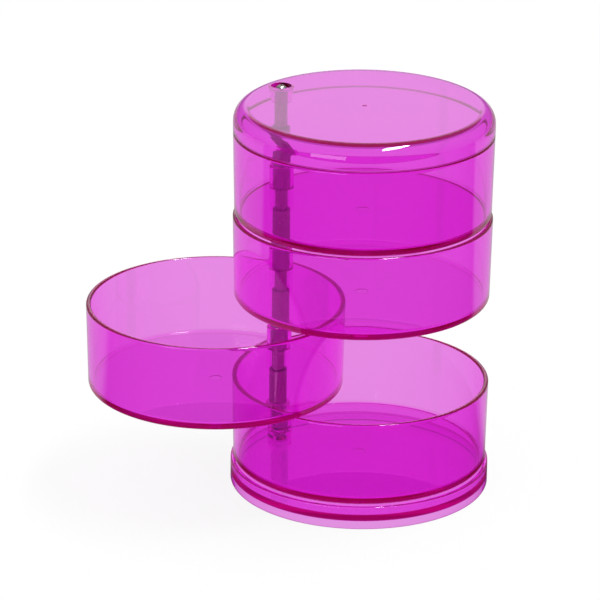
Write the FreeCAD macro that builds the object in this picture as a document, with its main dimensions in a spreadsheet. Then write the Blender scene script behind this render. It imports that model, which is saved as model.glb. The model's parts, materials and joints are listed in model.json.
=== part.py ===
"""Four-tier swivel caddy: a base, four round trays and a lid, threaded on one off-centre pivot rod.

The origin is the middle of the foot, at table level. +Z is up, and -Y faces the viewer.
Every tier turns about the pivot rod. The second tray is modelled swung out by about a quarter turn.
"""
import FreeCAD
import Part
import Sketcher

import os
import re

TRAY_COUNT = 4
SWUNG_TRAY = 2

# Driving dimensions: name, millimetres or degrees, meaning.
DIMENSIONS = (
    ("rim_radius", 50.0, "outside radius of the trays at the rim, and of the lid"),
    ("tray_draft", 0.6, "how much narrower a tray's foot is than its rim"),
    ("tray_height", 33.35, "height of one tray"),
    ("tray_wall", 1.9, "wall of a tray"),
    ("tray_floor", 2.2, "floor of a tray"),
    ("tray_corner", 1.9, "rounding under a tray, outside"),
    ("tray_inner_corner", 1.2, "rounding where floor and wall meet, inside"),
    ("tray_rim_round", 0.85, "rounding along a tray's rim, as far as its wall has room for it"),
    ("gate_radius", 2.5, "moulding mark under a tray's floor"),
    ("gate_depth", 0.3, "depth of that mark"),
    ("layer_gap", 0.3, "running gap between one tier and the next"),
    ("base_overhang", 0.5, "how far the base stands out past the trays"),
    ("base_height", 9.2, "table to the top of the base's rim"),
    ("base_wall", 1.7, "wall of the base's skirt and rim"),
    ("base_skirt", 3.2, "hollow under the base's plate"),
    ("base_plate", 2.4, "thickness of the base's plate"),
    ("base_edge_round", 0.6, "rounding of the base's foot and rim"),
    ("lid_height", 9.6, "lower edge to flat top of the lid"),
    ("lid_wall", 2.0, "wall of the lid"),
    ("lid_top", 2.0, "top plate of the lid"),
    ("lid_shoulder", 6.0, "rounded shoulder of the lid, outside"),
    ("lid_inner_shoulder", 3.0, "rounded shoulder of the lid, inside"),
    ("lid_rim_round", 0.4, "rounding along the lid's rim"),
    ("lid_boss_foot", 3.9, "radius of the lid's boss at its lower end"),
    ("nub_radius", 0.9, "moulding nub on top of the lid"),
    ("nub_crown", 0.4, "radius of that nub's flat crown"),
    ("nub_height", 0.25, "height of that nub"),
    ("pivot_inset", 10.4, "outside of the rims to the pivot axis"),
    ("pivot_bearing", 143.6, "direction of the pivot from the tray centre, from +X"),
    ("swing", -91.5, "turn of the swung-out tray about the pivot"),
    ("rod_radius", 2.5, "pivot rod"),
    ("rod_chamfer", 0.4, "chamfer on both ends of the rod"),
    ("running_clearance", 0.06, "rod to sleeve and lid, all round"),
    ("passing_clearance", 0.1, "rod to tray floor and screw to its hole, all round"),
    ("boss_radius", 4.9, "boss round the pivot, in trays and base, and at the lid's top plate"),
    ("boss_height", 9.0, "boss above a tray's floor"),
    ("boss_round", 0.5, "rounding on top of a tray's boss"),
    ("sleeve_radius", 3.6, "outside of a pivot sleeve"),
    ("sleeve_length", 23.0, "pivot sleeve, from the tray's floor up"),
    ("recess_radius", 4.0, "recess round a screw head, in lid and base"),
    ("lid_recess_depth", 2.8, "recess in the lid, from its flat top"),
    ("lid_seat", 5.0, "plastic between that recess and the underside of the lid's boss"),
    ("lid_end_play", 0.1, "gap under the lid's washer, so that the lid turns"),
    ("base_boss_drop", 2.0, "base boss below the plate"),
    ("base_boss_rise", 3.2, "base boss above the plate"),
    ("base_recess_depth", 3.6, "recess in the base boss, from below"),
    ("rod_socket_depth", 2.1, "rod in the base boss"),
    ("washer_radius", 3.6, "outside of the washers"),
    ("washer_thickness", 0.5, "thickness of the washers"),
    ("screw_radius", 1.5, "shank of both screws"),
    ("thread_clearance", 0.05, "shank to the rod's tapped hole, all round"),
    ("screw_reach", 7.0, "shank inside the rod"),
    ("tap_spare", 2.0, "tapped hole past the screw's end"),
    ("head_radius", 2.3, "screw head"),
    ("head_height", 2.4, "screw head"),
    ("head_dome", 1.9, "rounding of the screw head"),
    ("slot_width", 0.7, "cross slot in the screw head"),
    ("slot_length", 2.4, "cross slot in the screw head"),
    ("slot_depth", 1.0, "cross slot in the screw head"),
)
ALIASES = {alias for alias, size, meaning in DIMENSIONS}

# Derived places, as formulas of the driving dimensions.
FOOT_RADIUS = "(rim_radius - tray_draft)"
TRAY_RIM_ROUND = "min(tray_rim_round; 0.47 * tray_wall)"
BASE_RADIUS = "(rim_radius + base_overhang)"
PLATE_TOP = "(base_skirt + base_plate)"
PIVOT_X = "((rim_radius - pivot_inset) * cos(pivot_bearing))"
PIVOT_Y = "((rim_radius - pivot_inset) * sin(pivot_bearing))"
TRAY_PITCH = "(tray_height + layer_gap)"
FIRST_TRAY_Z = "(base_height + layer_gap)"
LID_Z = f"({FIRST_TRAY_Z} + {TRAY_COUNT} * {TRAY_PITCH})"
ROD_FOOT_Z = f"({PLATE_TOP} + base_boss_rise - rod_socket_depth)"
ROD_TOP_Z = f"({LID_Z} + lid_height - lid_recess_depth + lid_end_play)"
ROD_LENGTH = f"({ROD_TOP_Z} - {ROD_FOOT_Z})"
RUNNING_BORE = "(rod_radius + running_clearance)"
PASSING_BORE = "(rod_radius + passing_clearance)"
SCREW_HOLE = "(screw_radius + passing_clearance)"
TAP_RADIUS = "(screw_radius + thread_clearance)"
TAP_DEPTH = "(screw_reach + tap_spare)"
BASE_RECESS_Z = "(base_skirt - base_boss_drop + base_recess_depth)"
LID_SHANK = "(washer_thickness + screw_reach)"
BASE_SHANK = f"(washer_thickness + {ROD_FOOT_Z} - {BASE_RECESS_Z} + screw_reach)"

doc = FreeCAD.newDocument("swivel_caddy")
sizes = doc.addObject("Spreadsheet::Sheet", "sizes")


def fill_sheet():
    """Write each driving dimension into the sheet, with its meaning beside it."""
    for row, (alias, size, meaning) in enumerate(DIMENSIONS, start=1):
        sizes.set(f"A{row}", meaning)
        sizes.set(f"B{row}", str(size))
        sizes.setAlias(f"B{row}", alias)
    doc.recompute()


def bound(formula):
    """Point each dimension's name in a formula at its cell in the sheet."""
    def cell(match):
        word = match.group()
        return f"sizes.{word}" if word in ALIASES else word
    return re.sub(r"[a-z_]+", cell, formula)


def value(formula):
    """Work out a formula with the sheet's present numbers."""
    return float(sizes.evalExpression(bound(formula)))


def bind(item, **formulas):
    """Bind properties to formulas. Two underscores in a name stand for a dot."""
    for name, formula in formulas.items():
        item.setExpression(name.replace("__", "."), bound(formula))


def origin_plane(body, role):
    """Find one of a body's own origin planes."""
    return next(plane for plane in body.Origin.OriginFeatures if plane.Role == role)


def new_body(label):
    """Start a piece. Its label names its file."""
    body = doc.addObject("PartDesign::Body", label)
    body.Label = label
    return body


def turned(body, name, outline):
    """Revolve a closed outline of (radius, height) formulas about the body's Z axis."""
    sketch = body.newObject("Sketcher::SketchObject", f"{body.Name}_{name}_outline")
    sketch.AttachmentSupport = (origin_plane(body, "XZ_Plane"), [""])
    sketch.MapMode = "FlatFace"
    corners = [FreeCAD.Vector(value(radius), value(height), 0) for radius, height in outline]
    count = len(corners)
    for index in range(count):
        sketch.addGeometry(Part.LineSegment(corners[index], corners[(index + 1) % count]), False)
    for index in range(count):
        sketch.addConstraint(Sketcher.Constraint("Coincident", index, 2, (index + 1) % count, 1))
    for index, (radius, height) in enumerate(outline):
        pin_coordinate(sketch, index, "DistanceX", radius, -2)
        pin_coordinate(sketch, index, "DistanceY", height, -1)
    solid = body.newObject("PartDesign::Revolution", f"{body.Name}_{name}")
    solid.Profile = sketch
    solid.ReferenceAxis = (sketch, ["V_Axis"])
    solid.Angle = 360
    return solid


def pin_coordinate(sketch, index, kind, formula, axis):
    """Tie one coordinate of a corner to its formula, or to the axis where the formula is 0."""
    if formula == "0":
        sketch.addConstraint(Sketcher.Constraint("PointOnObject", index, 1, axis))
        return
    number = sketch.addConstraint(Sketcher.Constraint(kind, -1, 1, index, 1, value(formula)))
    sketch.setExpression(f"Constraints[{number}]", bound(formula))


def cylinder(body, name, kind, radius, low, high, x="0", y="0"):
    """Add or cut a cylinder, kind being Additive or Subtractive, between two heights."""
    solid = body.newObject(f"PartDesign::{kind}Cylinder", f"{body.Name}_{name}")
    solid.AttachmentSupport = (origin_plane(body, "XY_Plane"), [""])
    solid.MapMode = "FlatFace"
    bind(solid, Radius=radius, Height=f"{high} - ({low})", AttachmentOffset__Base__x=x,
         AttachmentOffset__Base__y=y, AttachmentOffset__Base__z=low)
    return solid


def cone(body, name, foot, top, low, high, x, y):
    """Add a round boss that changes from one radius to another between two heights."""
    solid = body.newObject("PartDesign::AdditiveCone", f"{body.Name}_{name}")
    solid.AttachmentSupport = (origin_plane(body, "XY_Plane"), [""])
    solid.MapMode = "FlatFace"
    bind(solid, Radius1=foot, Radius2=top, Height=f"{high} - ({low})", AttachmentOffset__Base__x=x,
         AttachmentOffset__Base__y=y, AttachmentOffset__Base__z=low)
    return solid


def edge_names(shape, circles):
    """List the edges of a shape that lie on circles given as (radius, height, x, y) formulas."""
    tolerance = 1e-4
    names = []
    for number, edge in enumerate(shape.Edges, start=1):
        if not isinstance(edge.Curve, Part.Circle):
            continue
        for radius, height, x, y in circles:
            centre = FreeCAD.Vector(value(x), value(y), value(height))
            same_size = abs(edge.Curve.Radius - value(radius)) < tolerance
            if same_size and edge.Curve.Center.distanceToPoint(centre) < tolerance:
                names.append(f"Edge{number}")
    return names


def eased(body, name, kind, size, circles):
    """Put a Fillet or a Chamfer on the circular edges given, by (radius, height) or with x and y."""
    doc.recompute()
    base = body.Tip
    placed = [circle if len(circle) == 4 else (*circle, "0", "0") for circle in circles]
    names = edge_names(base.Shape, placed)
    if len(names) < len(circles):
        raise RuntimeError(f"{body.Label}: {name} found {len(names)} of {len(circles)} edges")
    feature = body.newObject(f"PartDesign::{kind}", f"{body.Name}_{name}")
    feature.Base = (base, names)
    if kind == "Fillet":
        bind(feature, Radius=size)
    else:
        bind(feature, Size=size)
    return feature


def place(body, x="0", y="0", z="0", turn=None):
    """Set a finished piece at its place, turned about the vertical where a turn is given."""
    bind(body, Placement__Base__x=x, Placement__Base__y=y, Placement__Base__z=z)
    if turn:
        body.Placement.Rotation = FreeCAD.Rotation(FreeCAD.Vector(0, 0, 1), value(turn))
        bind(body, Placement__Rotation__Angle=turn)


def build_base():
    """Round foot: a plate with a skirt below, a rim above and a boss that holds the rod."""
    body = new_body("base")
    inner = f"({BASE_RADIUS} - base_wall)"
    boss_foot = "(base_skirt - base_boss_drop)"
    boss_top = f"({PLATE_TOP} + base_boss_rise)"
    turned(body, "ring", [
        (inner, "0"),
        (BASE_RADIUS, "0"),
        (BASE_RADIUS, "base_height"),
        (inner, "base_height"),
        (inner, PLATE_TOP),
        ("0", PLATE_TOP),
        ("0", "base_skirt"),
        (inner, "base_skirt"),
    ])
    eased(body, "edges", "Fillet", "base_edge_round", [
        (BASE_RADIUS, "0"),
        (BASE_RADIUS, "base_height"),
        (inner, "base_height"),
    ])
    cylinder(body, "boss", "Additive", "boss_radius", boss_foot, boss_top, PIVOT_X, PIVOT_Y)
    cylinder(body, "recess", "Subtractive", "recess_radius", boss_foot, BASE_RECESS_Z, PIVOT_X, PIVOT_Y)
    cylinder(body, "screw_hole", "Subtractive", SCREW_HOLE, boss_foot, boss_top, PIVOT_X, PIVOT_Y)
    cylinder(body, "socket", "Subtractive", "rod_radius", ROD_FOOT_Z, boss_top, PIVOT_X, PIVOT_Y)
    return body


def build_tray(number):
    """Open round tray with a boss for its pivot sleeve."""
    body = new_body(f"tray_{number}")
    inner_foot = f"({FOOT_RADIUS} - tray_wall)"
    inner_rim = "(rim_radius - tray_wall)"
    boss_top = "(tray_floor + boss_height)"
    turned(body, "bowl", [
        ("0", "gate_depth"),
        ("gate_radius", "gate_depth"),
        ("gate_radius", "0"),
        (FOOT_RADIUS, "0"),
        ("rim_radius", "tray_height"),
        (inner_rim, "tray_height"),
        (inner_foot, "tray_floor"),
        ("0", "tray_floor"),
    ])
    eased(body, "foot_corner", "Fillet", "tray_corner", [(FOOT_RADIUS, "0")])
    eased(body, "floor_corner", "Fillet", "tray_inner_corner", [(inner_foot, "tray_floor")])
    eased(body, "rim", "Fillet", TRAY_RIM_ROUND, [("rim_radius", "tray_height"), (inner_rim, "tray_height")])
    cylinder(body, "boss", "Additive", "boss_radius", "tray_floor", boss_top, PIVOT_X, PIVOT_Y)
    eased(body, "boss_edge", "Fillet", "boss_round", [("boss_radius", boss_top, PIVOT_X, PIVOT_Y)])
    cylinder(body, "sleeve_bore", "Subtractive", "sleeve_radius", "tray_floor", boss_top, PIVOT_X, PIVOT_Y)
    cylinder(body, "rod_hole", "Subtractive", PASSING_BORE, "0", boss_top, PIVOT_X, PIVOT_Y)
    height = f"{FIRST_TRAY_Z} + {number - 1} * {TRAY_PITCH}"
    if number == SWUNG_TRAY:
        swung_x = f"{PIVOT_X} - {PIVOT_X} * cos(swing) + {PIVOT_Y} * sin(swing)"
        swung_y = f"{PIVOT_Y} - {PIVOT_X} * sin(swing) - {PIVOT_Y} * cos(swing)"
        place(body, swung_x, swung_y, height, "swing")
    else:
        place(body, z=height)
    return body


def build_lid():
    """Shallow cover with a rounded shoulder and a boss that is recessed for the screw head."""
    body = new_body("lid")
    inner = "(rim_radius - lid_wall)"
    ceiling = "(lid_height - lid_top)"
    recess_floor = "(lid_height - lid_recess_depth)"
    boss_foot = f"({recess_floor} - lid_seat)"
    turned(body, "cap", [
        (inner, "0"),
        ("rim_radius", "0"),
        ("rim_radius", "lid_height"),
        ("nub_radius", "lid_height"),
        ("nub_crown", "lid_height + nub_height"),
        ("0", "lid_height + nub_height"),
        ("0", ceiling),
        (inner, ceiling),
    ])
    eased(body, "shoulder", "Fillet", "lid_shoulder", [("rim_radius", "lid_height")])
    eased(body, "inner_shoulder", "Fillet", "lid_inner_shoulder", [(inner, ceiling)])
    eased(body, "edge", "Fillet", "lid_rim_round", [("rim_radius", "0"), (inner, "0")])
    cone(body, "boss", "lid_boss_foot", "boss_radius", boss_foot, ceiling, PIVOT_X, PIVOT_Y)
    cylinder(body, "recess", "Subtractive", "recess_radius", recess_floor, "lid_height", PIVOT_X, PIVOT_Y)
    cylinder(body, "rod_hole", "Subtractive", RUNNING_BORE, boss_foot, "lid_height", PIVOT_X, PIVOT_Y)
    place(body, z=LID_Z)
    return body


def build_rod():
    """Pivot rod, tapped at both ends for the screws."""
    body = new_body("pivot_rod")
    cylinder(body, "bar", "Additive", "rod_radius", "0", ROD_LENGTH)
    eased(body, "ends", "Chamfer", "rod_chamfer", [("rod_radius", "0"), ("rod_radius", ROD_LENGTH)])
    cylinder(body, "lower_tap", "Subtractive", TAP_RADIUS, "0", TAP_DEPTH)
    cylinder(body, "upper_tap", "Subtractive", TAP_RADIUS, f"{ROD_LENGTH} - {TAP_DEPTH}", ROD_LENGTH)
    place(body, PIVOT_X, PIVOT_Y, ROD_FOOT_Z)
    return body


def build_sleeve(number):
    """Tube in a tray's boss, which keeps the tray square to the rod."""
    body = new_body(f"pivot_sleeve_{number}")
    cylinder(body, "tube", "Additive", "sleeve_radius", "0", "sleeve_length")
    cylinder(body, "bore", "Subtractive", RUNNING_BORE, "0", "sleeve_length")
    place(body, PIVOT_X, PIVOT_Y, f"{FIRST_TRAY_Z} + {number - 1} * {TRAY_PITCH} + tray_floor")
    return body


def build_washer(label, low):
    """Flat washer under a screw head."""
    body = new_body(label)
    cylinder(body, "disc", "Additive", "washer_radius", "0", "washer_thickness")
    cylinder(body, "hole", "Subtractive", SCREW_HOLE, "0", "washer_thickness")
    place(body, PIVOT_X, PIVOT_Y, low)
    return body


def build_screw(label, shank, seat, turned_over):
    """Round-head screw with a cross slot. Its head stands on its seat, or hangs from it turned over."""
    body = new_body(label)
    top = f"({shank} + head_height)"
    cylinder(body, "shank", "Additive", "screw_radius", "0", shank)
    cylinder(body, "head", "Additive", "head_radius", shank, top)
    eased(body, "dome", "Fillet", "head_dome", [("head_radius", top)])
    for name, length, width in (("slot", "slot_length", "slot_width"), ("cross", "slot_width", "slot_length")):
        slot = body.newObject("PartDesign::SubtractiveBox", f"{body.Name}_{name}")
        slot.AttachmentSupport = (origin_plane(body, "XY_Plane"), [""])
        slot.MapMode = "FlatFace"
        bind(slot, Length=length, Width=width, Height="slot_depth",
             AttachmentOffset__Base__x=f"-{length} / 2", AttachmentOffset__Base__y=f"-{width} / 2",
             AttachmentOffset__Base__z=f"{top} - slot_depth")
    if turned_over:
        body.Placement.Rotation = FreeCAD.Rotation(FreeCAD.Vector(1, 0, 0), 180)
        place(body, PIVOT_X, PIVOT_Y, f"{seat} + {shank}")
    else:
        place(body, PIVOT_X, PIVOT_Y, f"{seat} - {shank}")
    return body


def check(pieces):
    """Stop if any object failed to compute or any piece isn't one valid solid."""
    for item in doc.Objects:
        if "Invalid" in item.State or "Error" in item.State:
            raise RuntimeError(f"{item.Label} failed: {item.State}")
    for piece in pieces:
        shape = piece.Shape
        if shape.isNull() or not shape.isValid() or len(shape.Solids) != 1:
            raise RuntimeError(f"{piece.Label} isn't one valid solid")


def main():
    """Build every piece, check them and write one file for each."""
    fill_sheet()
    pieces = [build_base()]
    for number in range(1, TRAY_COUNT + 1):
        pieces.append(build_tray(number))
        pieces.append(build_sleeve(number))
    pieces.append(build_lid())
    pieces.append(build_rod())
    pieces.append(build_washer("lid_washer", ROD_TOP_Z))
    pieces.append(build_screw("lid_screw", LID_SHANK, f"{ROD_TOP_Z} + washer_thickness", False))
    pieces.append(build_washer("base_washer", f"{BASE_RECESS_Z} - washer_thickness"))
    pieces.append(build_screw("base_screw", BASE_SHANK, f"{BASE_RECESS_Z} - washer_thickness", True))
    doc.recompute()
    check(pieces)
    os.makedirs("parts", exist_ok=True)
    for piece in pieces:
        piece.Shape.exportStep(f"parts/{piece.Label}.step")
        box = piece.Shape.BoundBox
        print(f"{piece.Label}: {piece.Shape.Volume:.1f} mm3, z {box.ZMin:.2f} to {box.ZMax:.2f}")


main()
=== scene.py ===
"""Looks of the four-tier swivel caddy: clear magenta tiers on a bright steel pivot, in a white studio."""
import json
import logging
import math
from dataclasses import dataclass
from enum import Enum

import bmesh
import bpy
from mathutils import Matrix, Vector

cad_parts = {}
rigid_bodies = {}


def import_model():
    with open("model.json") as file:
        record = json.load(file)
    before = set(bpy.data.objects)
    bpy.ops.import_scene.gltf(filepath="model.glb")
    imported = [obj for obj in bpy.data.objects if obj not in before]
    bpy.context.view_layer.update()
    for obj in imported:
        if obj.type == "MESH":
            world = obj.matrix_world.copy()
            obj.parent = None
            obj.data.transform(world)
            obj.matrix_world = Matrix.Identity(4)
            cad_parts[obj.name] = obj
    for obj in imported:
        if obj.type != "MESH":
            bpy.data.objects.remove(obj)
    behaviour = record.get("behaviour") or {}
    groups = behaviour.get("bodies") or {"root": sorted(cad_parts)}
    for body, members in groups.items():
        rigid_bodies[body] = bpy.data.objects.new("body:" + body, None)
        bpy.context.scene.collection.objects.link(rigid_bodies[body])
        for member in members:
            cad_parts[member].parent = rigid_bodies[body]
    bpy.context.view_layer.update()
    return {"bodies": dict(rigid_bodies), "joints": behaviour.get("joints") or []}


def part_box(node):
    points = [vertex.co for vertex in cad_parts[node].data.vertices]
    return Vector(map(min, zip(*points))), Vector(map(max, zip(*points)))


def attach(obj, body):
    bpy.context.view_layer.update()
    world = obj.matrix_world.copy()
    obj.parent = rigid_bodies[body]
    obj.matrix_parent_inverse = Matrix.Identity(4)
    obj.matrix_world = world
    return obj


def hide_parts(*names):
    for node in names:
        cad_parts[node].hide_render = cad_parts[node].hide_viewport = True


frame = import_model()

log = logging.getLogger("caddy")

Ring = list[bmesh.types.BMVert]
Socket = bpy.types.NodeSocket
Triple = tuple[float, float, float]

# Sizes of the pieces are in millimetres. MM turns them into the scene's metres.
MM = 0.001
ORIGIN = Vector((0.0, 0.0, 0.0))
WIDE_TURN = 256
NARROW_TURN = 96
ARC_STEP = math.radians(9.0)
LEAST_ARC_STEPS = 3
SUPPORT_GAP = 0.35
LONG_RUN = 4.0 * SUPPORT_GAP
LEAST_RADIUS = 1e-6
CUT_PAST = 1.0
SHARP_ANGLE = math.radians(38.0)
LIGHT_BOUNCES = 128


class Operation(Enum):
    """How a tool body changes a piece."""

    JOIN = "UNION"
    CUT = "DIFFERENCE"


class Arithmetic(Enum):
    """How a shader joins two values."""

    PLUS = "ADD"
    MINUS = "SUBTRACT"
    TIMES = "MULTIPLY"
    LEAST = "MINIMUM"
    MOST = "MAXIMUM"


class LampShape(Enum):
    """The outline of a lamp."""

    RECTANGLE = "RECTANGLE"
    ELLIPSE = "ELLIPSE"


class RodEnd(Enum):
    """The end of the pivot rod that a screw and a washer hold."""

    LID = "lid"
    BASE = "base"


class Slot(Enum):
    """The record's material slots."""

    PLASTIC = "clear_magenta"
    STEEL = "plated_steel"


def object_from(work: bmesh.types.BMesh, name: str) -> bpy.types.Object:
    """Turn a mesh in the making into an object of the scene.

    Args:
        work: The mesh in the making, which is used up.
        name: The new object's name.

    Returns:
        The new object.
    """
    mesh = bpy.data.meshes.new(name)
    work.to_mesh(mesh)
    work.free()
    made = bpy.data.objects.new(name, mesh)
    bpy.context.scene.collection.objects.link(made)
    return made


@dataclass(frozen=True)
class Corner:
    """One corner of a turned outline: radius, height and rounding."""

    radius: float
    height: float
    rounding: float = 0.0

    @property
    def place(self) -> Vector:
        """The corner as a point of the outline's plane."""
        return Vector((self.radius, self.height))


@dataclass(frozen=True)
class TurnedOutline:
    """The section of a round piece. It runs from axis to axis, or round on itself where it is a ring."""

    corners: tuple[Corner, ...]
    ring: bool = False

    def points(self) -> list[Vector]:
        """Work out the outline's points, with its roundings as arcs.

        Returns:
            The points in order, each (radius, height).
        """
        count = len(self.corners)
        found: list[Vector] = []
        for index, corner in enumerate(self.corners):
            at_end = not self.ring and index in (0, count - 1)
            if at_end or corner.rounding == 0.0:
                found.append(corner.place)
                continue
            before = self.corners[index - 1].place
            after = self.corners[(index + 1) % count].place
            found.extend(self._arc(before, corner, after))
        return self._with_supports(found)

    def _arc(self, before: Vector, corner: Corner, after: Vector) -> list[Vector]:
        """Round one corner.

        Args:
            before: The corner before this one.
            corner: The corner to round.
            after: The corner after this one.

        Returns:
            Points along the arc, from its first tangent point to its last.
        """
        here = corner.place
        back = (before - here).normalized()
        ahead = (after - here).normalized()
        half = back.angle(ahead) / 2.0
        first = here + back * (corner.rounding / math.tan(half))
        centre = here + (back + ahead).normalized() * (corner.rounding / math.sin(half))
        spoke = first - centre
        sweep = math.pi - 2.0 * half
        if back.x * ahead.y - back.y * ahead.x > 0.0:
            sweep = -sweep
        steps = max(LEAST_ARC_STEPS, round(abs(sweep) / ARC_STEP))
        return [centre + Matrix.Rotation(sweep * step / steps, 2) @ spoke for step in range(steps + 1)]

    def _with_supports(self, points: list[Vector]) -> list[Vector]:
        """Add a point near both ends of each long straight run, so that flat faces shade flat.

        Args:
            points: The outline's points in order.

        Returns:
            The same points, with the new ones among them.
        """
        count = len(points)
        held: list[Vector] = []
        for index, here in enumerate(points):
            held.append(here)
            if index == count - 1 and not self.ring:
                continue
            run = points[(index + 1) % count] - here
            if run.length > LONG_RUN:
                step = run.normalized() * SUPPORT_GAP
                held.append(here + step)
                held.append(here + run - step)
        return held

    def build(self, name: str, turns: int, centre: Vector) -> bpy.types.Object:
        """Turn the outline about a vertical axis.

        Args:
            name: The new object's name.
            turns: How many sides the round has.
            centre: The axis's place and the outline's zero height.

        Returns:
            A closed mesh object, in metres.
        """
        work = bmesh.new()
        rings = [self._ring(work, point, turns, centre) for point in self.points()]
        pairs = list(zip(rings, rings[1:]))
        if self.ring:
            pairs.append((rings[-1], rings[0]))
        for lower, upper in pairs:
            self._bridge(work, lower, upper, turns)
        bmesh.ops.recalc_face_normals(work, faces=work.faces[:])
        return object_from(work, name)

    @staticmethod
    def _ring(work: bmesh.types.BMesh, point: Vector, turns: int, centre: Vector) -> Ring:
        """Make the vertices of one ring, or the one vertex of a point on the axis.

        Args:
            work: The mesh in the making.
            point: The ring's radius and height.
            turns: How many vertices go round.
            centre: The axis's place and the outline's zero height.

        Returns:
            The vertices in order.
        """
        if point.x < LEAST_RADIUS:
            return [work.verts.new((centre + Vector((0.0, 0.0, point.y))) * MM)]
        ring = []
        for turn in range(turns):
            angle = 2.0 * math.pi * turn / turns
            spoke = Vector((point.x * math.cos(angle), point.x * math.sin(angle), point.y))
            ring.append(work.verts.new((centre + spoke) * MM))
        return ring

    @staticmethod
    def _bridge(work: bmesh.types.BMesh, lower: Ring, upper: Ring, turns: int) -> None:
        """Join two rings with faces.

        Args:
            work: The mesh in the making.
            lower: The first ring, which may be one vertex.
            upper: The second ring, which may be one vertex.
            turns: How many faces go round.
        """
        for turn in range(turns):
            ahead = (turn + 1) % turns
            loop = [lower[turn % len(lower)], lower[ahead % len(lower)]]
            loop += [upper[ahead % len(upper)], upper[turn % len(upper)]]
            corners = list(dict.fromkeys(loop))
            if len(corners) > 2:
                work.faces.new(corners)


def carve(piece: bpy.types.Object, tool: bpy.types.Object, operation: Operation) -> None:
    """Join a tool body to a piece, or cut it out, and use the tool up.

    Args:
        piece: The piece that changes.
        tool: The closed mesh that changes it.
        operation: Whether to join or cut.
    """
    modifier = piece.modifiers.new("carve", "BOOLEAN")
    modifier.object = tool
    modifier.operation = operation.value
    modifier.solver = "EXACT"
    graph = bpy.context.evaluated_depsgraph_get()
    finished = bpy.data.meshes.new_from_object(piece.evaluated_get(graph))
    piece.modifiers.clear()
    worn = piece.data
    piece.data = finished
    bpy.data.meshes.remove(worn)
    bpy.data.objects.remove(tool)


def dress(piece: bpy.types.Object, finish: bpy.types.Material) -> None:
    """Shade a piece smooth, with its real edges sharp, and give it its finish.

    Args:
        piece: The piece, with its shape done.
        finish: The material that it gets.
    """
    piece.data.shade_smooth()
    piece.data.set_sharp_from_angle(angle=SHARP_ANGLE)
    piece.data.materials.append(finish)


def settle(piece: bpy.types.Object, node: str, body: str) -> None:
    """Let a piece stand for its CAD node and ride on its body.

    Args:
        piece: The finished piece.
        node: The CAD node that it stands for.
        body: The CAD body that carries it.
    """
    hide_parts(node)
    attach(piece, body)
    log.info("%s stands for %s on %s, %d faces", piece.name, node, body, len(piece.data.polygons))


@dataclass(frozen=True)
class PivotAxis:
    """Where the pivot rod stands."""

    x: float
    y: float

    @classmethod
    def from_frame(cls) -> "PivotAxis":
        """Read the axis from the frame's first hinge."""
        place = frame["joints"][0]["pos_m"]
        return cls(place[0] / MM, place[1] / MM)

    def at(self, height: float) -> Vector:
        """The axis at a height."""
        return Vector((self.x, self.y, height))


def centre_of(node: str) -> Vector:
    """The middle of a CAD node's foot."""
    low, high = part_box(node)
    return Vector(((low.x + high.x) / 2.0, (low.y + high.y) / 2.0, low.z)) / MM


def height_of(node: str) -> float:
    """A CAD node's height."""
    low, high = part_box(node)
    return (high.z - low.z) / MM


def radius_of(node: str) -> float:
    """Half a round CAD node's width."""
    low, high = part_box(node)
    return (high.x - low.x) / 2.0 / MM


class Nodes:
    """Short hands for making the nodes of one tree."""

    def __init__(self, tree: bpy.types.NodeTree) -> None:
        """Start with the tree empty."""
        self.tree = tree
        self.tree.nodes.clear()

    def add(self, kind: str, **settings: object) -> bpy.types.Node:
        """Add a node and set its own properties.

        Args:
            kind: The node's type.
            **settings: Its properties by name.

        Returns:
            The new node.
        """
        node = self.tree.nodes.new(kind)
        for name, setting in settings.items():
            setattr(node, name, setting)
        return node

    def link(self, start: Socket, end: Socket) -> None:
        """Join two sockets."""
        self.tree.links.new(start, end)

    def combine(self, operation: Arithmetic, first: Socket | float, second: Socket | float) -> Socket:
        """Join two values by arithmetic.

        Args:
            operation: How to join them.
            first: A socket or a number.
            second: A socket or a number.

        Returns:
            The socket that gives the result.
        """
        node = self.add("ShaderNodeMath", operation=operation.value)
        for socket, source in zip(node.inputs, (first, second)):
            if isinstance(source, Socket):
                self.link(source, socket)
            else:
                socket.default_value = source
        return node.outputs[0]

    def plus(self, first: Socket | float, second: Socket | float) -> Socket:
        """Add two values."""
        return self.combine(Arithmetic.PLUS, first, second)

    def minus(self, first: Socket | float, second: Socket | float) -> Socket:
        """Take the second value from the first."""
        return self.combine(Arithmetic.MINUS, first, second)

    def times(self, first: Socket | float, second: Socket | float) -> Socket:
        """Multiply two values."""
        return self.combine(Arithmetic.TIMES, first, second)

    def least(self, first: Socket | float, second: Socket | float) -> Socket:
        """Take the lower of two values."""
        return self.combine(Arithmetic.LEAST, first, second)

    def most(self, first: Socket | float, second: Socket | float) -> Socket:
        """Take the higher of two values."""
        return self.combine(Arithmetic.MOST, first, second)

    def fade(self, source: Socket, start: float, end: float) -> Socket:
        """Make a smooth step from 0 to 1 between two values.

        Args:
            source: The value that it follows.
            start: Where it is still 0.
            end: Where it is 1.

        Returns:
            The socket that gives the step.
        """
        node = self.add("ShaderNodeMapRange", interpolation_type="SMOOTHSTEP")
        node.inputs["From Min"].default_value = start
        node.inputs["From Max"].default_value = end
        self.link(source, node.inputs["Value"])
        return node.outputs["Result"]

    def cone(self, nearness: Socket, outer: float, inner: float) -> Socket:
        """A factor of 1 within an angle of a direction, fading to 0 at an outer angle, in degrees."""
        return self.fade(nearness, math.cos(math.radians(outer)), math.cos(math.radians(inner)))


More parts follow.
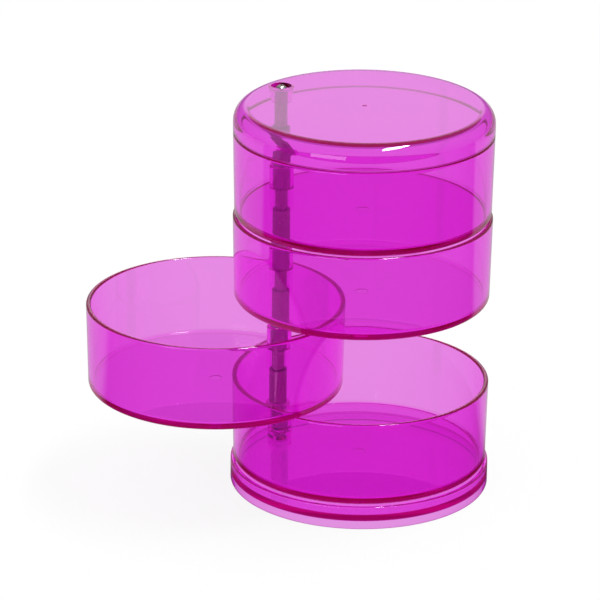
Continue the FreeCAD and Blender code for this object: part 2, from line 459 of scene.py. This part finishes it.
class MaterialNodes(Nodes):
    """The nodes of a new material."""

    noise_low = 0.35
    noise_high = 0.65

    def __init__(self, name: str) -> None:
        """Start a material that has only its output.

        Args:
            name: The material's name.
        """
        self.material = bpy.data.materials.new(name)
        self.material.use_nodes = True
        super().__init__(self.material.node_tree)
        self.output = self.add("ShaderNodeOutputMaterial")

    def noise(self, scale: float, detail: float, stretch: Triple = (1.0, 1.0, 1.0)) -> Socket:
        """Make a noise in the object's own metres.

        Args:
            scale: How fine it is.
            detail: How many finer layers it has.
            stretch: How much finer it is along each axis.

        Returns:
            The socket that gives the noise.
        """
        place = self.add("ShaderNodeTexCoord")
        mapping = self.add("ShaderNodeMapping")
        mapping.inputs["Scale"].default_value = stretch
        texture = self.add("ShaderNodeTexNoise")
        texture.inputs["Scale"].default_value = scale
        texture.inputs["Detail"].default_value = detail
        self.link(place.outputs["Object"], mapping.inputs["Vector"])
        self.link(mapping.outputs["Vector"], texture.inputs["Vector"])
        return texture.outputs["Fac"]

    def spread(self, source: Socket, low: float, high: float) -> Socket:
        """Spread a noise's middle range from a low to a high value.

        Args:
            source: The noise.
            low: The value at the low end.
            high: The value at the high end.

        Returns:
            The socket that gives the value.
        """
        spread = self.add("ShaderNodeMapRange")
        spread.inputs["From Min"].default_value = self.noise_low
        spread.inputs["From Max"].default_value = self.noise_high
        spread.inputs["To Min"].default_value = low
        spread.inputs["To Max"].default_value = high
        self.link(source, spread.inputs["Value"])
        return spread.outputs["Result"]

    def bump(self, source: Socket, strength: float, depth: float) -> Socket:
        """Turn a height into a bumped normal.

        Args:
            source: The height, from 0 to 1.
            strength: How much of the bump shows.
            depth: The depth of a height of 1, in metres.

        Returns:
            The socket that gives the normal.
        """
        bump = self.add("ShaderNodeBump")
        bump.inputs["Strength"].default_value = strength
        bump.inputs["Distance"].default_value = depth
        self.link(source, bump.inputs["Height"])
        return bump.outputs["Normal"]


@dataclass(frozen=True)
class ClearPlastic:
    """Polished clear plastic, tinted through its depth.

    Light of each colour is lost by the millimetre. The depth of the ripple is in metres.
    """

    name: str = "clear_magenta_plastic"
    loss_red: float = 0.0045
    loss_green: float = 0.55
    loss_blue: float = 0.015
    index: float = 1.59
    roughness_low: float = 0.004
    roughness_high: float = 0.03
    mark_scale: float = 90.0
    mark_detail: float = 4.0
    ripple_scale: float = 55.0
    ripple_detail: float = 1.0
    ripple_stretch: Triple = (1.0, 1.0, 0.5)
    ripple_strength: float = 0.12
    ripple_depth: float = 0.0002

    def material(self) -> bpy.types.Material:
        """Make the plastic: bent light, colour lost by depth, faint moulding ripple and handling marks.

        Returns:
            The material.
        """
        nodes = MaterialNodes(self.name)
        shader = nodes.add("ShaderNodeBsdfPrincipled")
        shader.inputs["Base Color"].default_value = (1.0, 1.0, 1.0, 1.0)
        shader.inputs["Transmission Weight"].default_value = 1.0
        shader.inputs["IOR"].default_value = self.index
        marks = nodes.noise(self.mark_scale, self.mark_detail)
        nodes.link(nodes.spread(marks, self.roughness_low, self.roughness_high), shader.inputs["Roughness"])
        ripple = nodes.noise(self.ripple_scale, self.ripple_detail, self.ripple_stretch)
        nodes.link(nodes.bump(ripple, self.ripple_strength, self.ripple_depth), shader.inputs["Normal"])
        losses = (self.loss_red, self.loss_green, self.loss_blue)
        greatest = max(losses)
        kept = [1.0 - loss / greatest for loss in losses]
        depth = nodes.add("ShaderNodeVolumeAbsorption")
        depth.inputs["Color"].default_value = (*kept, 1.0)
        depth.inputs["Density"].default_value = greatest / MM
        nodes.link(shader.outputs["BSDF"], nodes.output.inputs["Surface"])
        nodes.link(depth.outputs["Volume"], nodes.output.inputs["Volume"])
        return nodes.material


@dataclass(frozen=True)
class PlatedSteel:
    """Bright plated steel with fine turning marks. The depth of the grooves is in metres."""

    name: str
    colour: Triple = (0.43, 0.39, 0.34)
    roughness_low: float = 0.14
    roughness_high: float = 0.3
    stain_scale: float = 140.0
    stain_detail: float = 5.0
    stain_stretch: Triple = (1.0, 1.0, 0.35)
    stained_share: float = 0.86
    groove_scale: float = 900.0
    groove_detail: float = 2.0
    groove_stretch: Triple = (0.05, 0.05, 1.0)
    groove_strength: float = 0.25
    groove_depth: float = 0.00003

    def material(self) -> bpy.types.Material:
        """Make the metal: turning marks round the axis and faint handling stains.

        Returns:
            The material.
        """
        nodes = MaterialNodes(self.name)
        shader = nodes.add("ShaderNodeBsdfPrincipled")
        shader.inputs["Metallic"].default_value = 1.0
        stain = nodes.noise(self.stain_scale, self.stain_detail, self.stain_stretch)
        nodes.link(nodes.spread(stain, self.roughness_low, self.roughness_high), shader.inputs["Roughness"])
        tint = nodes.add("ShaderNodeMix", data_type="RGBA")
        tint.inputs["A"].default_value = (*[self.stained_share * part for part in self.colour], 1.0)
        tint.inputs["B"].default_value = (*self.colour, 1.0)
        nodes.link(nodes.spread(stain, 0.0, 1.0), tint.inputs["Factor"])
        nodes.link(tint.outputs["Result"], shader.inputs["Base Color"])
        grooves = nodes.noise(self.groove_scale, self.groove_detail, self.groove_stretch)
        nodes.link(nodes.bump(grooves, self.groove_strength, self.groove_depth), shader.inputs["Normal"])
        nodes.link(shader.outputs["BSDF"], nodes.output.inputs["Surface"])
        return nodes.material


@dataclass
class Base:
    """Round foot: a plate with a skirt below, a rim above and a boss that holds the rod."""

    pivot: PivotAxis
    finish: bpy.types.Material
    wall: float = 1.7
    skirt: float = 3.2
    plate: float = 2.4
    edge_round: float = 0.6
    foot_inner_round: float = 0.3
    plate_round: float = 0.4
    boss_radius: float = 4.9
    boss_drop: float = 2.0
    boss_rise: float = 3.2
    boss_round: float = 0.3
    recess_radius: float = 4.0
    recess_depth: float = 3.6
    screw_hole: float = 1.6
    socket_radius: float = 2.53
    socket_depth: float = 2.1

    def build(self) -> bpy.types.Object:
        """Make the foot and set it on the stand.

        Returns:
            The finished piece.
        """
        outer = radius_of("base")
        inner = outer - self.wall
        top = height_of("base")
        plate_top = self.skirt + self.plate
        ring = TurnedOutline((
            Corner(0.0, self.skirt),
            Corner(inner, self.skirt, self.plate_round),
            Corner(inner, 0.0, self.foot_inner_round),
            Corner(outer, 0.0, self.edge_round),
            Corner(outer, top, self.edge_round),
            Corner(inner, top, self.edge_round),
            Corner(inner, plate_top, self.plate_round),
            Corner(0.0, plate_top),
        ))
        piece = ring.build("base_foot", WIDE_TURN, ORIGIN)
        foot = self.skirt - self.boss_drop
        head = plate_top + self.boss_rise
        boss = TurnedOutline((
            Corner(0.0, foot),
            Corner(self.boss_radius, foot, self.boss_round),
            Corner(self.boss_radius, head, self.boss_round),
            Corner(0.0, head),
        ))
        carve(piece, boss.build("boss", NARROW_TURN, self.pivot.at(0.0)), Operation.JOIN)
        seat = foot + self.recess_depth
        socket = head - self.socket_depth
        bore = TurnedOutline((
            Corner(0.0, foot - CUT_PAST),
            Corner(self.recess_radius, foot - CUT_PAST),
            Corner(self.recess_radius, seat),
            Corner(self.screw_hole, seat),
            Corner(self.screw_hole, socket),
            Corner(self.socket_radius, socket),
            Corner(self.socket_radius, head + CUT_PAST),
            Corner(0.0, head + CUT_PAST),
        ))
        carve(piece, bore.build("bore", NARROW_TURN, self.pivot.at(0.0)), Operation.CUT)
        dress(piece, self.finish)
        settle(piece, "base", "stand")
        return piece


@dataclass
class Tray:
    """Open round tray with a boss for its pivot sleeve. The tiers are copies of one mould."""

    pivot: PivotAxis
    finish: bpy.types.Material
    draft: float = 0.6
    wall: float = 1.9
    floor: float = 2.2
    corner: float = 1.9
    inner_corner: float = 1.2
    rim_round: float = 0.85
    gate_radius: float = 2.5
    gate_depth: float = 0.3
    gate_round: float = 0.1
    boss_radius: float = 4.9
    boss_height: float = 9.0
    boss_round: float = 0.5
    sleeve_bore: float = 3.63
    rod_bore: float = 2.6

    def mould(self) -> bpy.types.Mesh:
        """Make one tray about the stack's axis, with its foot at height 0.

        Returns:
            The tray's mesh.
        """
        rim = radius_of("tray_1")
        top = height_of("tray_1")
        foot = rim - self.draft
        bowl = TurnedOutline((
            Corner(0.0, self.gate_depth),
            Corner(self.gate_radius, self.gate_depth),
            Corner(self.gate_radius, 0.0, self.gate_round),
            Corner(foot, 0.0, self.corner),
            Corner(rim, top, self.rim_round),
            Corner(rim - self.wall, top, self.rim_round),
            Corner(foot - self.wall, self.floor, self.inner_corner),
            Corner(0.0, self.floor),
        ))
        piece = bowl.build("tray_mould", WIDE_TURN, ORIGIN)
        boss_top = self.floor + self.boss_height
        sunk = self.floor / 2.0
        boss = TurnedOutline((
            Corner(0.0, sunk),
            Corner(self.boss_radius, sunk),
            Corner(self.boss_radius, boss_top, self.boss_round),
            Corner(0.0, boss_top),
        ))
        carve(piece, boss.build("boss", NARROW_TURN, self.pivot.at(0.0)), Operation.JOIN)
        bore = TurnedOutline((
            Corner(0.0, -CUT_PAST),
            Corner(self.rod_bore, -CUT_PAST),
            Corner(self.rod_bore, self.floor),
            Corner(self.sleeve_bore, self.floor),
            Corner(self.sleeve_bore, boss_top + CUT_PAST),
            Corner(0.0, boss_top + CUT_PAST),
        ))
        carve(piece, bore.build("bore", NARROW_TURN, self.pivot.at(0.0)), Operation.CUT)
        dress(piece, self.finish)
        mesh = piece.data
        bpy.data.objects.remove(piece)
        return mesh

    def swing_of(self, node: str) -> float:
        """Measure how far a tray is turned about the pivot at rest.

        Args:
            node: The tray's CAD node.

        Returns:
            The angle, in radians.
        """
        axis = Vector((self.pivot.x, self.pivot.y))
        now = centre_of(node).to_2d() - axis
        return now.angle_signed(-axis)

    def build(self, mesh: bpy.types.Mesh, number: int) -> bpy.types.Object:
        """Set a copy of the mould at one tier.

        Args:
            mesh: The tray's mesh.
            number: The tier, from 1 at the bottom.

        Returns:
            The finished piece.
        """
        node = f"tray_{number}"
        about = Matrix.Translation(self.pivot.at(0.0) * MM)
        turn = about @ Matrix.Rotation(self.swing_of(node), 4, "Z") @ about.inverted()
        lift = Matrix.Translation(Vector((0.0, 0.0, centre_of(node).z * MM)))
        piece = bpy.data.objects.new(f"{node}_shell", mesh.copy())
        piece.data.transform(lift @ turn)
        bpy.context.scene.collection.objects.link(piece)
        settle(piece, node, node)
        return piece


@dataclass
class Lid:
    """Shallow cover with a rounded shoulder, a low nub in the middle and a recessed boss for the screw."""

    pivot: PivotAxis
    finish: bpy.types.Material
    wall: float = 2.0
    top_plate: float = 2.0
    shoulder: float = 6.0
    inner_shoulder: float = 3.3
    rim_round: float = 0.15
    nub_radius: float = 0.85
    nub_crown: float = 0.5
    nub_height: float = 0.25
    nub_foot_round: float = 0.1
    nub_crown_round: float = 0.3
    boss_radius: float = 4.9
    boss_foot_radius: float = 3.9
    boss_foot_round: float = 0.3
    recess_radius: float = 4.0
    recess_depth: float = 2.8
    seat: float = 5.0
    rod_bore: float = 2.56

    def build(self) -> bpy.types.Object:
        """Make the cover and set it on its body.

        Returns:
            The finished piece.
        """
        outer = radius_of("lid")
        inner = outer - self.wall
        top = height_of("lid") - self.nub_height
        ceiling = top - self.top_plate
        foot = centre_of("lid")
        cap = TurnedOutline((
            Corner(0.0, ceiling),
            Corner(inner, ceiling, self.inner_shoulder),
            Corner(inner, 0.0, self.rim_round),
            Corner(outer, 0.0, self.rim_round),
            Corner(outer, top, self.shoulder),
            Corner(self.nub_radius, top, self.nub_foot_round),
            Corner(self.nub_crown, top + self.nub_height, self.nub_crown_round),
            Corner(0.0, top + self.nub_height),
        ))
        piece = cap.build("lid_cover", WIDE_TURN, foot)
        recess_floor = top - self.recess_depth
        boss_foot = recess_floor - self.seat
        sunk = ceiling + self.top_plate / 2.0
        boss = TurnedOutline((
            Corner(0.0, boss_foot),
            Corner(self.boss_foot_radius, boss_foot, self.boss_foot_round),
            Corner(self.boss_radius, ceiling),
            Corner(self.boss_radius, sunk),
            Corner(0.0, sunk),
        ))
        carve(piece, boss.build("boss", NARROW_TURN, self.pivot.at(foot.z)), Operation.JOIN)
        bore = TurnedOutline((
            Corner(0.0, boss_foot - CUT_PAST),
            Corner(self.rod_bore, boss_foot - CUT_PAST),
            Corner(self.rod_bore, recess_floor),
            Corner(self.recess_radius, recess_floor),
            Corner(self.recess_radius, top + CUT_PAST),
            Corner(0.0, top + CUT_PAST),
        ))
        carve(piece, bore.build("bore", NARROW_TURN, self.pivot.at(foot.z)), Operation.CUT)
        dress(piece, self.finish)
        settle(piece, "lid", "lid")
        return piece


@dataclass
class PivotColumn:
    """The steel that holds the tiers: the rod, a sleeve for each tray, and a washer and screw at each end."""

    bar_finish: bpy.types.Material
    screw_finish: bpy.types.Material
    tray_count: int
    rod_chamfer: float = 0.4
    tap_radius: float = 1.55
    tap_depth: float = 9.0
    sleeve_bore: float = 2.56
    sleeve_round: float = 0.15
    washer_hole: float = 1.6
    washer_round: float = 0.12
    shank_radius: float = 1.5
    shank_round: float = 0.2
    head_height: float = 2.4
    head_dome: float = 1.9
    head_edge: float = 0.1
    slot_width: float = 0.7
    slot_length: float = 2.4
    slot_depth: float = 1.0

    def build(self) -> list[bpy.types.Object]:
        """Make every steel piece.

        Returns:
            The finished pieces.
        """
        pieces = [self._rod()]
        pieces += [self._sleeve(number) for number in range(1, self.tray_count + 1)]
        for end in RodEnd:
            pieces.append(self._washer(end))
            pieces.append(self._screw(end))
        return pieces

    def _rod(self) -> bpy.types.Object:
        """Make the rod, with both ends tapped.

        Returns:
            The finished piece.
        """
        radius = radius_of("pivot_rod")
        length = height_of("pivot_rod")
        bar = TurnedOutline((
            Corner(0.0, self.tap_depth),
            Corner(self.tap_radius, self.tap_depth),
            Corner(self.tap_radius, 0.0),
            Corner(radius - self.rod_chamfer, 0.0),
            Corner(radius, self.rod_chamfer),
            Corner(radius, length - self.rod_chamfer),
            Corner(radius - self.rod_chamfer, length),
            Corner(self.tap_radius, length),
            Corner(self.tap_radius, length - self.tap_depth),
            Corner(0.0, length - self.tap_depth),
        ))
        piece = bar.build("rod_bar", NARROW_TURN, centre_of("pivot_rod"))
        dress(piece, self.bar_finish)
        settle(piece, "pivot_rod", "stand")
        return piece

    def _sleeve(self, number: int) -> bpy.types.Object:
        """Make the sleeve of one tray.

        Args:
            number: The tray's tier, from 1 at the bottom.

        Returns:
            The finished piece.
        """
        node = f"pivot_sleeve_{number}"
        radius = radius_of(node)
        length = height_of(node)
        tube = TurnedOutline((
            Corner(self.sleeve_bore, 0.0, self.sleeve_round),
            Corner(radius, 0.0, self.sleeve_round),
            Corner(radius, length, self.sleeve_round),
            Corner(self.sleeve_bore, length, self.sleeve_round),
        ), ring=True)
        piece = tube.build(f"sleeve_{number}_tube", NARROW_TURN, centre_of(node))
        dress(piece, self.bar_finish)
        settle(piece, node, f"tray_{number}")
        return piece

    def _washer(self, end: RodEnd) -> bpy.types.Object:
        """Make the washer at one end of the rod.

        Args:
            end: The end that it is at.

        Returns:
            The finished piece.
        """
        node = f"{end.value}_washer"
        radius = radius_of(node)
        thick = height_of(node)
        disc = TurnedOutline((
            Corner(self.washer_hole, 0.0),
            Corner(radius, 0.0, self.washer_round),
            Corner(radius, thick, self.washer_round),
            Corner(self.washer_hole, thick),
        ), ring=True)
        piece = disc.build(f"{end.value}_washer_disc", NARROW_TURN, centre_of(node))
        dress(piece, self.screw_finish)
        settle(piece, node, "stand")
        return piece

    def _screw(self, end: RodEnd) -> bpy.types.Object:
        """Make the screw at one end of the rod. The base's screw hangs head down.

        Args:
            end: The end that it is at.

        Returns:
            The finished piece.
        """
        node = f"{end.value}_screw"
        radius = radius_of(node)
        length = height_of(node)
        shank = length - self.head_height
        body = TurnedOutline((
            Corner(0.0, 0.0),
            Corner(self.shank_radius, 0.0, self.shank_round),
            Corner(self.shank_radius, shank),
            Corner(radius, shank, self.head_edge),
            Corner(radius, length, self.head_dome),
            Corner(0.0, length),
        ))
        piece = body.build(f"{end.value}_screw_round_head", NARROW_TURN, ORIGIN)
        carve(piece, self._cross_slot(length), Operation.CUT)
        if end is RodEnd.BASE:
            flip = Matrix.Translation(Vector((0.0, 0.0, length * MM))) @ Matrix.Rotation(math.pi, 4, "X")
            piece.data.transform(flip)
        piece.data.transform(Matrix.Translation(centre_of(node) * MM))
        dress(piece, self.screw_finish)
        settle(piece, node, "stand")
        return piece

    def _cross_slot(self, length: float) -> bpy.types.Object:
        """Make the body that cuts the cross slot.

        Args:
            length: The screw's length, foot to top.

        Returns:
            A closed mesh object, in metres.
        """
        half = self.slot_width / 2.0
        reach = self.slot_length / 2.0
        arm = (Vector((reach, -half)), Vector((reach, half)), Vector((half, half)))
        turns = [Matrix.Rotation(quarter * math.pi / 2.0, 2) for quarter in range(4)]
        outline = [turn @ point for turn in turns for point in arm]
        work = bmesh.new()
        floor, roof = (
            [work.verts.new(Vector((*point, height)) * MM) for point in outline]
            for height in (length - self.slot_depth, length + CUT_PAST)
        )
        work.faces.new(floor)
        work.faces.new(roof)
        for index in range(len(outline)):
            work.faces.new((floor[index - 1], floor[index], roof[index], roof[index - 1]))
        bmesh.ops.recalc_face_normals(work, faces=work.faces[:])
        return object_from(work, "cross_slot")


@dataclass(frozen=True)
class Softbox:
    """A lamp that faces the object.

    Its direction from the object is in degrees, its distance and size in metres and its power in watts.
    """

    name: str
    bearing: float
    elevation: float
    distance: float
    width: float
    height: float
    power: float
    shape: LampShape = LampShape.RECTANGLE

    def build(self, aim: Vector) -> None:
        """Hang the lamp so that it faces the object.

        Args:
            aim: The point that it faces.
        """
        data = bpy.data.lights.new(self.name, "AREA")
        data.shape = self.shape.value
        data.size = self.width
        data.size_y = self.height
        data.energy = self.power
        lamp = bpy.data.objects.new(self.name, data)
        turn = math.radians(self.bearing)
        rise = math.radians(self.elevation)
        flat = math.cos(rise)
        outward = Vector((flat * math.sin(turn), -flat * math.cos(turn), math.sin(rise)))
        lamp.location = aim + outward * self.distance
        lamp.rotation_euler = (-outward).to_track_quat("-Z", "Y").to_euler()
        lamp.visible_camera = False
        lamp.visible_transmission = False
        bpy.context.scene.collection.objects.link(lamp)
        log.info("%s hangs at bearing %.0f, elevation %.0f", self.name, self.bearing, self.elevation)


class RayKinds:
    """Factors of 1 for the kinds of ray that reach a shader."""

    def __init__(self, nodes: Nodes) -> None:
        """Add the factors to a shader's nodes.

        Args:
            nodes: The nodes of a material or of the surroundings.
        """
        path = nodes.add("ShaderNodeLightPath")
        self.seen = path.outputs["Is Camera Ray"]
        self.through = path.outputs["Is Transmission Ray"]
        self.mirrored = nodes.minus(path.outputs["Is Glossy Ray"], self.through)
        self.inside = nodes.least(path.outputs["Transmission Depth"], 1.0)


@dataclass
class Studio:
    """White floor and surroundings, and the lamps. Lengths are in metres and angles in degrees.

    Outer surfaces mirror a bright panel behind the object. Light that has been through clear walls
    meets a wide dark flag there instead. Mirrored surroundings are dark in front, and the mirrored
    floor is pale only behind two lines that run back from the object.
    """

    aim: Vector
    floor_size: float = 30.0
    floor_shade: float = 0.9
    seen_glow: float = 0.88
    through_level: float = 0.81
    side_level: float = 0.55
    side_spread: float = 0.18
    side_lean: float = 0.12
    side_start: float = -0.01
    side_end: float = 0.03
    open_level: float = 0.22
    open_start: float = -0.35
    open_end: float = 0.2
    panel_level: float = 1.05
    panel_inner: float = 8.0
    panel_outer: float = 18.0
    mirrored_least: float = 0.02
    room_level: float = 1.0
    back_rise: float = 21.2
    flag_inner: float = 30.0
    flag_outer: float = 60.0
    flag_level: float = 0.05
    flag_through: float = 0.8

    def build(self) -> None:
        """Make the floor, the surroundings and the lamps."""
        self._floor()
        self._surroundings()
        lamps = (
            Softbox(
                "top_softbox",
                bearing=85.0,
                elevation=76.0,
                distance=1.5,
                width=0.95,
                height=0.2,
                power=11.0,
                shape=LampShape.ELLIPSE,
            ),
            Softbox(
                "left_softbox",
                bearing=-31.0,
                elevation=13.0,
                distance=2.0,
                width=1.1,
                height=0.8,
                power=7.0,
            ),
        )
        for lamp in lamps:
            lamp.build(self.aim)

    def _floor(self) -> None:
        """Make a pale floor that keeps the object's shadow."""
        work = bmesh.new()
        bmesh.ops.create_grid(work, x_segments=1, y_segments=1, size=self.floor_size / 2.0)
        floor = object_from(work, "floor")
        floor.data.materials.append(self._floor_finish())

    def _floor_finish(self) -> bpy.types.Material:
        """Make the floor's finish: matt, with a glow of its own where it is seen, seen through or mirrored.

        Returns:
            The material.
        """
        nodes = MaterialNodes("white_floor")
        kinds = RayKinds(nodes)
        matt = nodes.add("ShaderNodeBsdfDiffuse")
        matt.inputs["Color"].default_value = (self.floor_shade, self.floor_shade, self.floor_shade, 1.0)
        pale = nodes.fade(self._behind(nodes), self.side_start, self.side_end)
        mirrored = nodes.most(nodes.times(pale, self.side_level), self.mirrored_least)
        level = nodes.plus(kinds.seen, nodes.times(kinds.through, self.through_level))
        level = nodes.plus(level, nodes.times(kinds.mirrored, mirrored))
        share = nodes.plus(nodes.times(kinds.seen, self.seen_glow), kinds.mirrored)
        share = nodes.plus(share, kinds.through)
        glow = nodes.add("ShaderNodeEmission")
        nodes.link(level, glow.inputs["Strength"])
        mix = nodes.add("ShaderNodeMixShader")
        nodes.link(share, mix.inputs["Fac"])
        nodes.link(matt.outputs["BSDF"], mix.inputs[1])
        nodes.link(glow.outputs["Emission"], mix.inputs[2])
        nodes.link(mix.outputs["Shader"], nodes.output.inputs["Surface"])
        return nodes.material

    def _behind(self, nodes: Nodes) -> Socket:
        """Measure how far a place on the floor is behind two lines that run back from the object.

        Args:
            nodes: The floor's nodes.

        Returns:
            The socket that gives the length, in metres.
        """
        place = nodes.add("ShaderNodeTexCoord")
        split = nodes.add("ShaderNodeSeparateXYZ")
        nodes.link(place.outputs["Object"], split.inputs["Vector"])
        across = split.outputs["X"]
        width = nodes.add("ShaderNodeMath", operation="ABSOLUTE")
        nodes.link(across, width.inputs[0])
        spread = nodes.minus(split.outputs["Y"], nodes.times(width.outputs[0], self.side_spread))
        return nodes.minus(spread, nodes.times(across, self.side_lean))

    def _surroundings(self) -> None:
        """Make surroundings that are seen as white, mirrored as dark in front, and give plain light."""
        world = bpy.data.worlds.new("white_room")
        world.use_nodes = True
        nodes = Nodes(world.node_tree)
        kinds = RayKinds(nodes)
        direction = nodes.add("ShaderNodeTexCoord").outputs["Generated"]
        nearness = self._nearness(nodes, direction)
        flag = nodes.times(nodes.cone(nearness, self.flag_outer, self.flag_inner), kinds.inside)
        bare = nodes.minus(1.0, flag)
        shown = nodes.times(nodes.most(bare, self.flag_through), self.through_level)
        sky = self._mirrored_sky(nodes, kinds, direction, nearness)
        sky = nodes.times(sky, nodes.most(bare, self.flag_level))
        level = nodes.plus(kinds.seen, nodes.times(kinds.through, shown))
        level = nodes.plus(level, nodes.times(kinds.mirrored, sky))
        either = nodes.plus(nodes.plus(kinds.seen, kinds.through), kinds.mirrored)
        rest = nodes.times(nodes.minus(1.0, either), self.room_level)
        room = nodes.add("ShaderNodeBackground")
        nodes.link(nodes.plus(level, rest), room.inputs["Strength"])
        output = nodes.add("ShaderNodeOutputWorld")
        nodes.link(room.outputs["Background"], output.inputs["Surface"])
        bpy.context.scene.world = world

    def _nearness(self, nodes: Nodes, direction: Socket) -> Socket:
        """Measure how near a direction is to the middle of the panel.

        Args:
            nodes: The surroundings' nodes.
            direction: The direction that a ray goes.

        Returns:
            The socket that gives the cosine of the angle between the two.
        """
        rise = math.radians(self.back_rise)
        toward = nodes.add("ShaderNodeVectorMath", operation="DOT_PRODUCT")
        toward.inputs[1].default_value = (0.0, math.cos(rise), math.sin(rise))
        nodes.link(direction, toward.inputs[0])
        return toward.outputs["Value"]

    def _mirrored_sky(self, nodes: Nodes, kinds: RayKinds, direction: Socket, nearness: Socket) -> Socket:
        """Make the level of the surroundings that a surface mirrors, with the panel on outer surfaces only.

        Args:
            nodes: The surroundings' nodes.
            kinds: The kinds of ray.
            direction: The direction that a ray goes.
            nearness: The cosine of its angle to the middle of the panel.

        Returns:
            The socket that gives the level.
        """
        split = nodes.add("ShaderNodeSeparateXYZ")
        nodes.link(direction, split.inputs["Vector"])
        open_sky = nodes.fade(split.outputs["Y"], self.open_start, self.open_end)
        open_sky = nodes.most(nodes.times(open_sky, self.open_level), self.mirrored_least)
        panel = nodes.times(nodes.cone(nearness, self.panel_outer, self.panel_inner), self.panel_level)
        panel = nodes.times(panel, nodes.minus(1.0, kinds.inside))
        return nodes.plus(open_sky, panel)


@dataclass(frozen=True)
class PhotoCamera:
    """The camera at the photograph's viewing angle.

    Its aim, distance and clips are in metres, its lens and sensor in millimetres and its angles in radians.
    """

    aim: Vector = Vector((-0.0238, 0.0, 0.07423))
    distance: float = 1.46487
    elevation: float = math.radians(21.181)
    roll: float = math.radians(0.58)
    lens: float = 226.95
    sensor: float = 36.0
    clip_near: float = 0.05
    clip_far: float = 100.0

    def build(self) -> None:
        """Make the camera and give it to the scene."""
        data = bpy.data.cameras.new("photo_camera")
        data.sensor_width = self.sensor
        data.lens = self.lens
        data.clip_start = self.clip_near
        data.clip_end = self.clip_far
        camera = bpy.data.objects.new("photo_camera", data)
        back = Vector((0.0, -math.cos(self.elevation), math.sin(self.elevation)))
        place = Matrix.Translation(self.aim + back * self.distance)
        tilt = Matrix.Rotation(math.pi / 2.0 - self.elevation, 4, "X")
        camera.matrix_world = place @ tilt @ Matrix.Rotation(self.roll, 4, "Z")
        bpy.context.scene.collection.objects.link(camera)
        bpy.context.scene.camera = camera


def set_light_paths() -> None:
    """Let light through as many clear walls as the stack has."""
    scene = bpy.context.scene
    scene.view_settings.view_transform = "Standard"
    scene.cycles.max_bounces = LIGHT_BOUNCES
    scene.cycles.transmission_bounces = LIGHT_BOUNCES
    scene.cycles.glossy_bounces = LIGHT_BOUNCES


def main() -> None:
    """Build the caddy, the studio and the camera."""
    logging.basicConfig(level=logging.INFO, format="%(name)s: %(message)s")
    pivot = PivotAxis.from_frame()
    plastic = ClearPlastic().material()
    bar = PlatedSteel("plated_bar").material()
    bright = PlatedSteel("bright_screws", (0.85, 0.84, 0.8), roughness_low=0.26, roughness_high=0.36)
    screws = bright.material()
    tray_count = sum(name.startswith("tray_") for name in frame["bodies"])
    Base(pivot, plastic).build()
    tray = Tray(pivot, plastic)
    mesh = tray.mould()
    for number in range(1, tray_count + 1):
        tray.build(mesh, number)
    Lid(pivot, plastic).build()
    PivotColumn(bar, screws, tray_count).build()
    camera = PhotoCamera()
    Studio(camera.aim).build()
    camera.build()
    set_light_paths()


if __name__ == "__main__":
    main()
